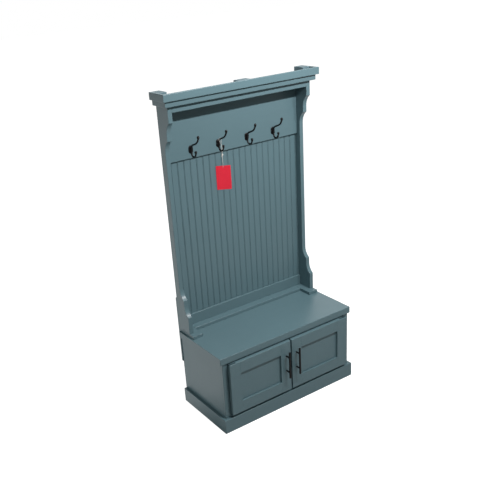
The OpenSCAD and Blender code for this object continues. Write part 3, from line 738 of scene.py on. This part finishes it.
@dataclass
class Studio:
    """The camera, the lamps, the white floor and the pale air.

    Two narrow keys high in front give the crown's crisp shadow. The soft boxes hang overhead, at the right and
    behind on both sides. The eye's place is counted from the hutch's back, which stands at Y = back_plane. The
    air lights the object at the level air, and the camera sees it at the level seen_air.
    """

    azimuth_deg: float = -31.9975
    elevation_deg: float = 24.256
    roll_rad: float = -0.08
    eye: tuple[float, float, float] = (-2.1338, -3.1092, 2.3679)
    back_plane: float = 0.2285
    lens_mm: float = 49.906
    sensor_mm: float = 36.0
    shift: tuple[float, float] = (0.0688, 0.0577)
    farthest: float = 100.0
    lamps: tuple[Lamp, ...] = (
        Lamp("key", (0.22, -1.5, 2.862), (0, 0.2, 1.2), (0.36, 0.055), 49.5, "#FFFAFA", True),
        Lamp("second_key", (0.89, -1.5, 2.862), (0, 0.2, 1.2), (0.18, 0.055), 20.5, "#FFFAFA", True),
        Lamp("top_box", (0.0, -0.3, 3.2), (0, -0.2, 0.5), (1.5, 0.4), 14.5),
        Lamp("right_box", (2.8, -1.4, 1.4), (0.3, 0.1, 1.0), (1.2, 1.8), 5.5),
        Lamp("left_back_box", (-2.6, 1.6, 0.55), (-0.5, 0.1, 0.4), (1.6, 1.2), 15.0),
        Lamp("wall_box", (2.5, 3.2, 2.3), (0.3, 0, 0.5), (3.5, 2.0), 22.0))
    small: tuple[str, ...] = ("hook_1_casting", "hook_2_casting", "hook_3_casting", "hook_4_casting",
                              "hook_screw_heads", "tag_twine", "tag_twine_knot", "tag_card")
    air: float = 0.195
    seen_air: float = 1.0
    floor_size: float = 60.0

    def camera(self) -> None:
        """Stand the camera at the photo's viewpoint; its turn is azimuth, elevation, then roll."""
        a, e = math.radians(self.azimuth_deg), math.radians(self.elevation_deg)
        back = Vector((math.sin(a) * math.cos(e), -math.cos(a) * math.cos(e), math.sin(e)))
        right = Vector((0, 0, 1)).cross(back).normalized()
        up = back.cross(right)
        c, s = math.cos(self.roll_rad), math.sin(self.roll_rad)
        turned = Matrix((c * right + s * up, c * up - s * right, back)).transposed().to_4x4()
        data = bpy.data.cameras.new("camera")
        data.lens = self.lens_mm
        data.sensor_width = self.sensor_mm
        data.shift_x, data.shift_y = self.shift
        data.clip_end = self.farthest
        camera = bpy.data.objects.new("camera", data)
        camera.matrix_world = Matrix.Translation(Vector(self.eye) + Vector((0, self.back_plane, 0))) @ turned
        bpy.context.scene.collection.objects.link(camera)
        bpy.context.scene.camera = camera

    def build(self) -> None:
        """Hang the lamps, lay the floor and fill the air, once the object's pieces are there."""
        small_pieces = bpy.data.collections.new("small_pieces")
        for name in self.small:
            small_pieces.objects.link(bpy.data.objects[name])
        for member in small_pieces.collection_objects:
            member.light_linking.link_state = "EXCLUDE"
        for lamp in self.lamps:
            lamp.hang(small_pieces)
        self.lay_floor()
        self.fill_air()
        bpy.context.scene.view_settings.view_transform = "Standard"
        bpy.context.scene.view_settings.look = "None"
        LOG.info("studio ready")

    def lay_floor(self) -> None:
        """Lay the floor as one square face."""
        half = self.floor_size / 2
        corners = [(-half, -half, 0), (half, -half, 0), (half, half, 0), (-half, half, 0)]
        mesh = bpy.data.meshes.new("floor")
        mesh.from_pydata(corners, [], [(0, 1, 2, 3)])
        mesh.materials.append(FLOOR.material())
        floor = bpy.data.objects.new("floor", mesh)
        bpy.context.scene.collection.objects.link(floor)

    def fill_air(self) -> None:
        """Fill the air with even light, brighter to the camera than to the object."""
        world = bpy.data.worlds.new("studio")
        world.use_nodes = True
        tree = world.node_tree
        tree.nodes.clear()
        seen = add_node(tree, "ShaderNodeLightPath").outputs["Is Camera Ray"]
        level = add_node(tree, "ShaderNodeMapRange", {"Value": seen, "To Min": self.air, "To Max": self.seen_air})
        air = add_node(tree, "ShaderNodeBackground", {
            "Color": linear(WHITE), "Strength": level.outputs["Result"]})
        add_node(tree, "ShaderNodeOutputWorld", {"Surface": air.outputs["Background"]})
        bpy.context.scene.world = world


@dataclass
class HookRow:
    """The cast coat-and-hat hooks with their screws. Lengths are millimetres.

    Each arm is two cubic curves, whose control points are shares of its reach and its rise.
    """

    reach: float = 86.0
    rise: float = 84.0
    low_reach: float = 49.0
    drop: float = 36.0
    plate_w: float = 27.0
    plate_h: float = 44.0
    plate_t: float = 4.0
    root_d: float = 10.0
    neck_d: float = 9.0
    bulb_d: float = 14.5
    bulb_l: float = 20.0
    low_bulb_l: float = 15.0
    taper_share: float = 0.625
    cap_share: float = 0.45
    blunt_share: float = 0.002
    bulb_gap: float = 0.5
    arm_steps: int = 28
    bulb_steps: int = 17
    arm_sides: int = 28
    plate_sides: int = 64
    pillow_in_shares: tuple[float, ...] = (1.0, 1.0, 0.985, 0.95, 0.9, 0.85, 0.75, 0.5, 0.2)
    pillow_up_shares: tuple[float, ...] = (0, 0.3, 0.46, 0.66, 0.84, 0.95, 0.99, 1.0, 1.0)
    screw: ScrewHead = ScrewHead(6.0, 1.5)
    screw_share: float = 0.31
    screw_turn_rad: float = 0.7
    nodes: tuple[str, ...] = ("hook_1", "hook_2", "hook_3", "hook_4")
    upper_shares: tuple[Curve, Curve] = (
        ((0.0588, -0.03), (0.0616, 0.179), (0.1744, 0.304), (0.4186, 0.369)),
        ((0.4186, 0.369), (0.721, 0.477), (0.953, 0.56), (1.0, 1.0)))
    lower_shares: tuple[Curve, Curve] = (
        ((0.104, -0.06), (0.107, 0.80), (0.26, 1.08), (0.58, 1.0)),
        ((0.58, 1.0), (0.90, 0.92), (1.06, 0.62), (1.0, 0.03)))

    def centre(self, node: str) -> np.ndarray:
        """Find the middle of a hook's plate at the rail's face.

        Args:
            node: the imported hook.

        Returns:
            The place, in metres.
        """
        low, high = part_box(node)
        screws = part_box("hook_screws")
        return np.array([(low.x + high.x) / 2, high.y, (screws[0].z + screws[1].z) / 2])

    def arm(self, shares: tuple[Curve, Curve], size: tuple[float, float], bulb_l: float) -> Shell:
        """One arm: two cubic curves in the upright plane, with a radius that tapers and ends in a bulb.

        The radius falls from root to neck over the first taper_share of the run. In the bulb it swells by
        half a cosine, and over its last cap_share it follows a circle to the tip, which stays a little blunt.

        Args:
            shares: the control points of both curves, as shares of reach and rise.
            size: reach and rise.
            bulb_l: length of the bulb.

        Returns:
            The arm's closed shell, about the plate's middle.
        """
        curves = [bezier(np.array(c) * np.array(size), self.arm_steps) for c in shares]
        line = np.concatenate([curves[0][:-1], curves[1]])
        tip = line[-1]
        way = (tip - line[-2]) / np.linalg.norm(tip - line[-2])
        tail = (1 + np.cos(np.linspace(0, np.pi, self.bulb_steps))) / 2
        line = np.concatenate([line[np.linalg.norm(line - tip, axis=1) > bulb_l + self.bulb_gap],
                               tip - tail[:, None] * bulb_l * way])
        run = np.concatenate([[0], np.cumsum(np.linalg.norm(np.diff(line, axis=0), axis=1))])
        rest = (run[-1] - run) / bulb_l
        taper = self.root_d / 2 + (self.neck_d - self.root_d) / 2 * np.minimum(
            1, run / (self.taper_share * run[-1]))
        swell = self.neck_d / 2 + (self.bulb_d - self.neck_d) / 4 * (
            1 + np.cos(np.pi * np.clip((rest - self.cap_share) / (1 - self.cap_share), 0, 1)))
        round_end = self.bulb_d / 2 * np.sqrt(
            np.clip(1 - (1 - rest / self.cap_share) ** 2, self.blunt_share, 1))
        radius = np.where(rest > 1, taper, np.where(rest > self.cap_share, swell, round_end))
        path = np.stack([np.zeros(len(line)), -line[:, 0], line[:, 1]], axis=-1)
        return tube(path, radius, self.arm_sides, (1, 0, 0))

    def plate(self) -> Shell:
        """The pillowed back plate: a stadium outline, of which each ring takes a share and a height.

        Returns:
            The plate's closed shell, about its middle at the rail's face.
        """
        n = self.plate_sides
        angle = (np.arange(n) + 0.5) * 2 * np.pi / n
        half = self.plate_w / 2
        outline = np.stack([half * np.cos(angle), np.zeros(n),
                            half * np.sin(angle) + np.sign(np.sin(angle)) * (self.plate_h / 2 - half)], axis=-1)
        share = np.array(self.pillow_in_shares)
        height = np.array(self.pillow_up_shares) * self.plate_t
        rings = share[:, None, None] * outline + height[:, None, None] * np.array([0, -1.0, 0])
        return closed_rings(rings)

    def build(self) -> None:
        """Make each hook as one casting and its two screws."""
        for node in self.nodes:
            centre = self.centre(node)
            parts = [self.plate(), self.arm(self.upper_shares, (self.reach, self.rise), self.bulb_l),
                     self.arm(self.lower_shares, (self.low_reach, -self.drop), self.low_bulb_l)]
            shells = [(centre + MM * points, faces) for points, faces in parts]
            new_piece(f"{node}_casting", shells, HOOK_IRON, "body", (node,))
        aside = self.screw_share * self.plate_w
        places = np.array([self.centre(node) + MM * np.array([side * aside, -self.plate_t, 0])
                           for node in self.nodes for side in (-1, 1)])
        heads = self.screw.shells(places, (0, -1, 0), np.arange(len(places)) * self.screw_turn_rad)
        new_piece("hook_screw_heads", heads, SCREW_BLACK, "body", ("hook_screws",))
        LOG.info("%d hooks", len(self.nodes))


@dataclass
class HangTag:
    """The plain red card and its knotted loop of string on the second hook. Lengths are millimetres.

    Places are counted from the middle of the hook's plate at the rail's face. The ends are control points of
    the string's two cut ends, counted from the knot.
    """

    hooks: HookRow
    string_d: float = 1.4
    lay: float = 5.0
    ply_mean_share: float = 0.95
    ply_swell_share: float = 0.1
    stretch_steps: int = 12
    string_sides: int = 12
    knot_d: float = 6.0
    knot_stretch: float = 1.5
    knot_mean_share: float = 0.9
    knot_swell_share: float = 0.1
    knot_open: float = 0.06
    knot_rings: int = 22
    knot_sides: int = 32
    end_steps: int = 16
    card_w: float = 81.0
    card_h: float = 134.0
    card_t: float = 0.8
    corner: float = 3.0
    hole_r: float = 2.2
    hole_drop: float = 8.4
    bow: float = 0.9
    bow_power: float = 0.7
    rim_share: float = 0.7
    hole_rim_share: float = 0.01
    edge_rim_share: float = 0.006
    card_sides: int = 240
    card_turn_deg: float = 32.0
    card_sharp_deg: float = 60.0
    place: tuple[float, float, float] = (7.1, -22, -121.1)
    knot: tuple[float, float, float] = (6.85, -22.3, -62.5)
    ends: tuple[Curve, Curve] = (((0, 0, 0), (3.5, -1, 3), (6.5, -1.5, 3), (7.5, -1.5, -1.5)),
                                 ((0, 0, 0), (-3.5, -1, -4), (-6.5, -1.5, -4), (-7.5, -1.5, -8.5)))
    route: Curve = (
        (5.9, -22.6, -64), (6, -23.3, -85), (5.7, -24.2, -111), (5.62, -24.37, -120), (5.62, -24.37, -125.6),
        (6.05, -23.68, -127.58), (7.1, -22, -128.4), (8.15, -20.32, -127.58), (8.58, -19.63, -125.6),
        (8.58, -19.63, -120), (8.4, -20.1, -110), (7.9, -21.3, -85), (7.8, -22, -64), (7.8, -22, -36),
        (7.7, -22, -10), (7.4, -22, 10), (7.1, -22, 20), (6.3, -22, 27.6), (3.7, -22, 31.2), (0, -22, 32.3),
        (-3.7, -22, 31.1), (-6.2, -22, 27.5), (-6.5, -22, 22.5), (-5.3, -22, 17), (-1.9, -22, 7.5),
        (1.7, -22, -2.5), (4.5, -22, -14.5), (5.8, -22, -27), (5.9, -22, -44), (5.9, -22.2, -61))

    def string(self, origin: np.ndarray) -> tuple[bpy.types.Object, np.ndarray]:
        """The two-ply string: its radius swells twice round the section, and the swells wind along it.

        Args:
            origin: the middle of the hook's plate at the rail's face.

        Returns:
            The string's object and its centre line.
        """
        line = smooth_line(np.array(self.route), self.stretch_steps)
        run = np.concatenate([[0], np.cumsum(np.linalg.norm(np.diff(line, axis=0), axis=1))])
        angle = np.linspace(0, 2 * np.pi, self.string_sides, endpoint=False)
        ply = 1 + self.ply_swell_share * np.cos(2 * (angle[None, :] - np.pi * run[:, None] / self.lay))
        radius = self.string_d / 2 * self.ply_mean_share * ply
        points, faces = tube(line, radius, self.string_sides, (0, 1, 0))
        piece = new_piece("tag_twine", [(origin + MM * points, faces)], STRING, "hang_tag",
                          ("tag_string",))
        return piece, origin + MM * line

    def knot_piece(self, origin: np.ndarray) -> bpy.types.Object:
        """The knot and the string's two cut ends, which stand out of it in short curls.

        The knot is a ball drawn out upwards. At the angle b from its top and c round it, its radius is a
        mean plus a swell of cos(3 c + 7 b) sin b, so that it looks wound. Each end is a cubic curve that
        leaves the knot sideways and droops.

        Args:
            origin: the middle of the hook's plate at the rail's face.

        Returns:
            The knot's object.
        """
        b = np.linspace(self.knot_open, np.pi - self.knot_open, self.knot_rings)[:, None]
        c = np.linspace(0, 2 * np.pi, self.knot_sides, endpoint=False)[None, :]
        r = self.knot_d / 2 * (self.knot_mean_share + self.knot_swell_share * np.cos(3 * c + 7 * b) * np.sin(b))
        ball = np.stack([r * np.sin(b) * np.cos(c), r * np.sin(b) * np.sin(c),
                         self.knot_stretch * r * np.cos(b) * np.ones_like(c)], -1)
        shells = [closed_rings(ball)]
        for corners in self.ends:
            curl = bezier(np.array(corners), self.end_steps)
            shells.append(tube(curl, np.full(len(curl), self.string_d / 2), self.string_sides, (0, 1, 0)))
        shells = [(origin + MM * (points + np.array(self.knot)), faces) for points, faces in shells]
        return new_piece("tag_twine_knot", shells, STRING, "hang_tag")

    def card(self, origin: np.ndarray) -> bpy.types.Object:
        """The card: a sheet between its hole and its rounded outline, seen from the hole.

        Point (t, a) lies a share t of the way from the hole's circle to the outline at angle a. The sheet
        bows to the back along its middle line, more towards its foot, and it thins to rim_share at its rims.

        Args:
            origin: the middle of the hook's plate at the rail's face.

        Returns:
            The card's object.
        """
        n = self.card_sides
        angle = np.linspace(0, 2 * np.pi, n, endpoint=False)
        ray = np.stack([np.cos(angle), np.sin(angle)], -1)
        low = np.array([-self.card_w / 2, self.hole_drop - self.card_h])
        high = np.array([self.card_w / 2, self.hole_drop])
        safe = np.where(np.abs(ray) < TINY, TINY, ray)
        far = (np.where(safe > 0, high, low) / safe).min(axis=1)
        edge = ray * far[:, None]
        inner = np.clip(edge, low + self.corner, high - self.corner)
        off = edge - inner
        length = np.linalg.norm(off, axis=1, keepdims=True)
        rounded = inner + off * np.minimum(1, self.corner / np.maximum(length, TINY))
        hole = self.hole_r * ray
        # Rings lie close together at both rims, which are rounded, and evenly between them.
        t = np.concatenate([[0.0, 0.004, 0.02], np.linspace(0.06, 0.985, 22), [0.997, 1.0]])
        sheet = hole[None] + t[:, None, None] * (rounded - hole)[None]
        full = np.minimum(1, np.minimum(t / self.hole_rim_share, (1 - t) / self.edge_rim_share))[:, None]
        half = self.card_t / 2 * (self.rim_share + (1 - self.rim_share) * full) * np.ones((1, n))
        bow = self.bow * ((1 - (2 * sheet[..., 0] / self.card_w) ** 2)
                          * np.clip(-sheet[..., 1] / self.card_h, 0, 1) ** self.bow_power)
        front = np.stack([sheet[..., 0], bow - half, sheet[..., 1]], -1)
        rear = np.stack([sheet[..., 0], bow + half, sheet[..., 1]], -1)[::-1]
        rings = np.concatenate([front, rear])
        faces = quads(len(rings), n) + quads_between(len(rings) - 1, 0, n)
        w = math.radians(-self.card_turn_deg)
        turned = np.stack([rings[..., 0] * math.cos(w) - rings[..., 1] * math.sin(w),
                           rings[..., 0] * math.sin(w) + rings[..., 1] * math.cos(w), rings[..., 2]], -1)
        points = turned.reshape(-1, 3) + np.array(self.place) - np.array([0, 0, self.hole_drop])
        return new_piece("tag_card", [(origin + MM * points, faces)], RED_CARD, "hang_tag",
                         ("hang_tag",), self.card_sharp_deg)

    def build(self) -> None:
        origin = self.hooks.centre("hook_2")
        piece, line = self.string(origin)
        knot = self.knot_piece(origin)
        self.card(origin)


@dataclass
class Beadboard:
    """The beaded back. Lengths are millimetres, and offset is where one bead's middle lies."""

    pitch: float = 40.0
    offset: float = -12.0
    bead_half: float = 2.2
    floor_half: float = 3.0
    lip_half: float = 3.5
    depth: float = 1.8
    edge_margin: float = 0.5
    bead_steps: int = 11
    wall_steps: int = 8
    sharp_deg: float = 50.0

    def face(self, x: np.ndarray) -> np.ndarray:
        """Depth of the face behind the flat boards at x, with u the distance from the nearest bead's middle.

        The bead is half an ellipse, depth (1 - sqrt(1 - (u / bead_half)^2)). Past it lies a flat quirk, and
        a wall that rises to the boards as half a cosine.

        Args:
            x: sideways places.

        Returns:
            The depth at each.
        """
        u = np.abs((x - self.offset + self.pitch / 2) % self.pitch - self.pitch / 2)
        bead = 1 - np.sqrt(np.clip(1 - (u / self.bead_half) ** 2, 0, 1))
        wall = (1 + np.cos(np.pi * np.clip((u - self.floor_half) / (self.lip_half - self.floor_half), 0, 1))) / 2
        return self.depth * np.where(u < self.bead_half, bead, wall)

    def build(self) -> None:
        """Carry the face's profile up the board and close it to the flat back."""
        low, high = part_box("beadboard")
        x_low, x_high = low.x / MM, high.x / MM
        first = math.ceil((x_low - self.offset) / self.pitch)
        last = math.floor((x_high - self.offset) / self.pitch)
        side = np.concatenate([self.bead_half * np.sin(np.linspace(0, np.pi / 2, self.bead_steps)),
                               np.linspace(self.floor_half, self.lip_half, self.wall_steps)])
        near = np.concatenate([-side[:0:-1], side])
        x = (self.offset + self.pitch * np.arange(first, last + 1)[:, None] + near).ravel()
        within = (x > x_low + self.edge_margin) & (x < x_high - self.edge_margin)
        x = np.unique(np.concatenate([[x_low, x_high], x[within]]))
        face_y = low.y + MM * self.face(x)
        back_y = np.full_like(x, high.y)
        corners = [(face_y, low.z), (face_y, high.z), (back_y, high.z), (back_y, low.z)]
        rings = np.stack([np.stack([MM * x, y, np.full_like(x, z)], -1) for y, z in corners], axis=1)
        n = len(x)
        faces = quads(n, 4) + [(3, 2, 1, 0), tuple(4 * (n - 1) + k for k in range(4))]
        new_piece("beadboard_panel", [(rings.reshape(-1, 3), faces)], ENAMEL[Grain.UPRIGHT], "body",
                  ("beadboard",), self.sharp_deg)
        LOG.info("beadboard with %d beads", last - first + 1)


@dataclass
class Carcase:
    """The fixed boards of cabinet, hutch and crown, and the way each one runs.

    The plain ones keep sharp arrises.
    """

    ease_mm: float = 0.9
    boards: dict[Grain, tuple[str, ...]] = field(default_factory=lambda: {
        Grain.ACROSS: ("face_rail_top", "face_rail_bottom", "plinth_front", "bench_top", "foot_back",
                       "bottom_rail", "hook_rail", "frieze", "crown_bed_front", "crown_fascia_front"),
        Grain.DEEP: ("plinth_left", "plinth_right", "foot_left", "foot_right", "crown_bed_returns",
                     "crown_fascia_returns"),
        Grain.UPRIGHT: ("cabinet_side_left", "cabinet_side_right", "face_stile_left", "face_stile_right",
                        "face_stile_centre", "side_panel_left", "side_panel_right", "batten_left", "batten_right"),
    })
    inside: tuple[str, ...] = ("cabinet_floor", "cabinet_back", "back_stretcher", "crown_blocks", "crown_board")
    plain: tuple[str, ...] = ("hook_rail",)

    def build(self) -> None:
        """Ease and paint every board."""
        for grain, nodes in self.boards.items():
            for node in nodes:
                eased_board(node, ENAMEL[grain], "body", 0 if node in self.plain else self.ease_mm)
        for node in self.inside:
            eased_board(node, ENAMEL_INSIDE, "body", self.ease_mm)
        LOG.info("carcase boards painted")


@dataclass
class Door:
    """One door with its handle, strike and pivot leaves."""

    side: str
    ease_mm: float = 0.8
    strike_ease_mm: float = 0.15
    post_pitch_mm: float = 96.0
    screw: ScrewHead = ScrewHead(8.0, 1.8)
    screw_turns_rad: tuple[float, float] = (0.3, 1.1)

    def node(self, part: str) -> str:
        """The node's name for a part of this door."""
        return f"door_{self.side}_{part}"

    def build(self) -> None:
        """Paint the frame and panel, coat the handle and add the screws."""
        body = f"door_{self.side}"
        for part, grain, ease in (("pivot_stile", Grain.UPRIGHT, 0), ("free_stile", Grain.UPRIGHT, self.ease_mm),
                                  ("top_rail", Grain.ACROSS, self.ease_mm),
                                  ("bottom_rail", Grain.ACROSS, self.ease_mm), ("panel", Grain.UPRIGHT, 0)):
            eased_board(self.node(part), ENAMEL[grain], body, ease)
        for part in ("pull_bar", "pull_posts"):
            eased_board(self.node(part), HANDLE_COAT, body, 0)
        eased_board(self.node("strike"), ZINC, body, self.strike_ease_mm)
        # Painted shade: the pivot leaves take the dark colour of the shadowed gap above the door.
        eased_board(self.node("pivot_leaves"), PIVOT_GAP_SHADE_COAT, body, 0)
        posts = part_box(self.node("pull_posts"))
        x, z = (posts[0].x + posts[1].x) / 2, (posts[0].z + posts[1].z) / 2
        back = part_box(self.node("free_stile"))[1].y
        step = self.post_pitch_mm * MM / 2
        places = np.array([[x, back, z - step], [x, back, z + step]])
        heads = self.screw.shells(places, (0, 1, 0), np.array(self.screw_turns_rad))
        new_piece(f"{body}_pull_screws", heads, ZINC, body)
        LOG.info("%s dressed", body)


@dataclass
class Hardware:
    """Catches, soft dots, pivot plates and the battens' screws, which lie flat in the battens' backs."""

    catch_ease_mm: float = 0.5
    dot_ease_mm: float = 0.3
    screw: ScrewHead = ScrewHead(8.5, 0.0)
    screw_turn_rad: float = 0.9
    rows_mm: tuple[float, ...] = (35.0, 160.0, 252.0, 377.0)

    def build(self) -> None:
        """Dress the small fittings and screw the battens on."""
        eased_board("magnetic_catches", CATCH_WHITE, "body", self.catch_ease_mm)
        eased_board("door_bumpers", SOFT_DOT, "body", self.dot_ease_mm)
        # Painted shade: the pivot plates take the dark colour of the shadowed gap under the bench.
        eased_board("pivot_plates", PIVOT_GAP_SHADE_COAT, "body", 0)
        places = []
        for node in ("batten_left", "batten_right"):
            low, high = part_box(node)
            places += [[(low.x + high.x) / 2, high.y, low.z + row * MM] for row in self.rows_mm]
        heads = self.screw.shells(np.array(places), (0, 1, 0), np.arange(len(places)) * self.screw_turn_rad)
        new_piece("batten_screw_heads", heads, ZINC, "body")
        LOG.info("fittings dressed")


def main() -> None:
    """Stand the camera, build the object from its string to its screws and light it."""
    logging.basicConfig(level=logging.INFO, format="%(name)s: %(message)s")
    studio = Studio()
    studio.camera()
    hooks = HookRow()
    HangTag(hooks).build()
    hooks.build()
    Beadboard().build()
    Carcase().build()
    for side in ("left", "right"):
        Door(side).build()
    Hardware().build()
    studio.build()


if __name__ == "__main__":
    main()
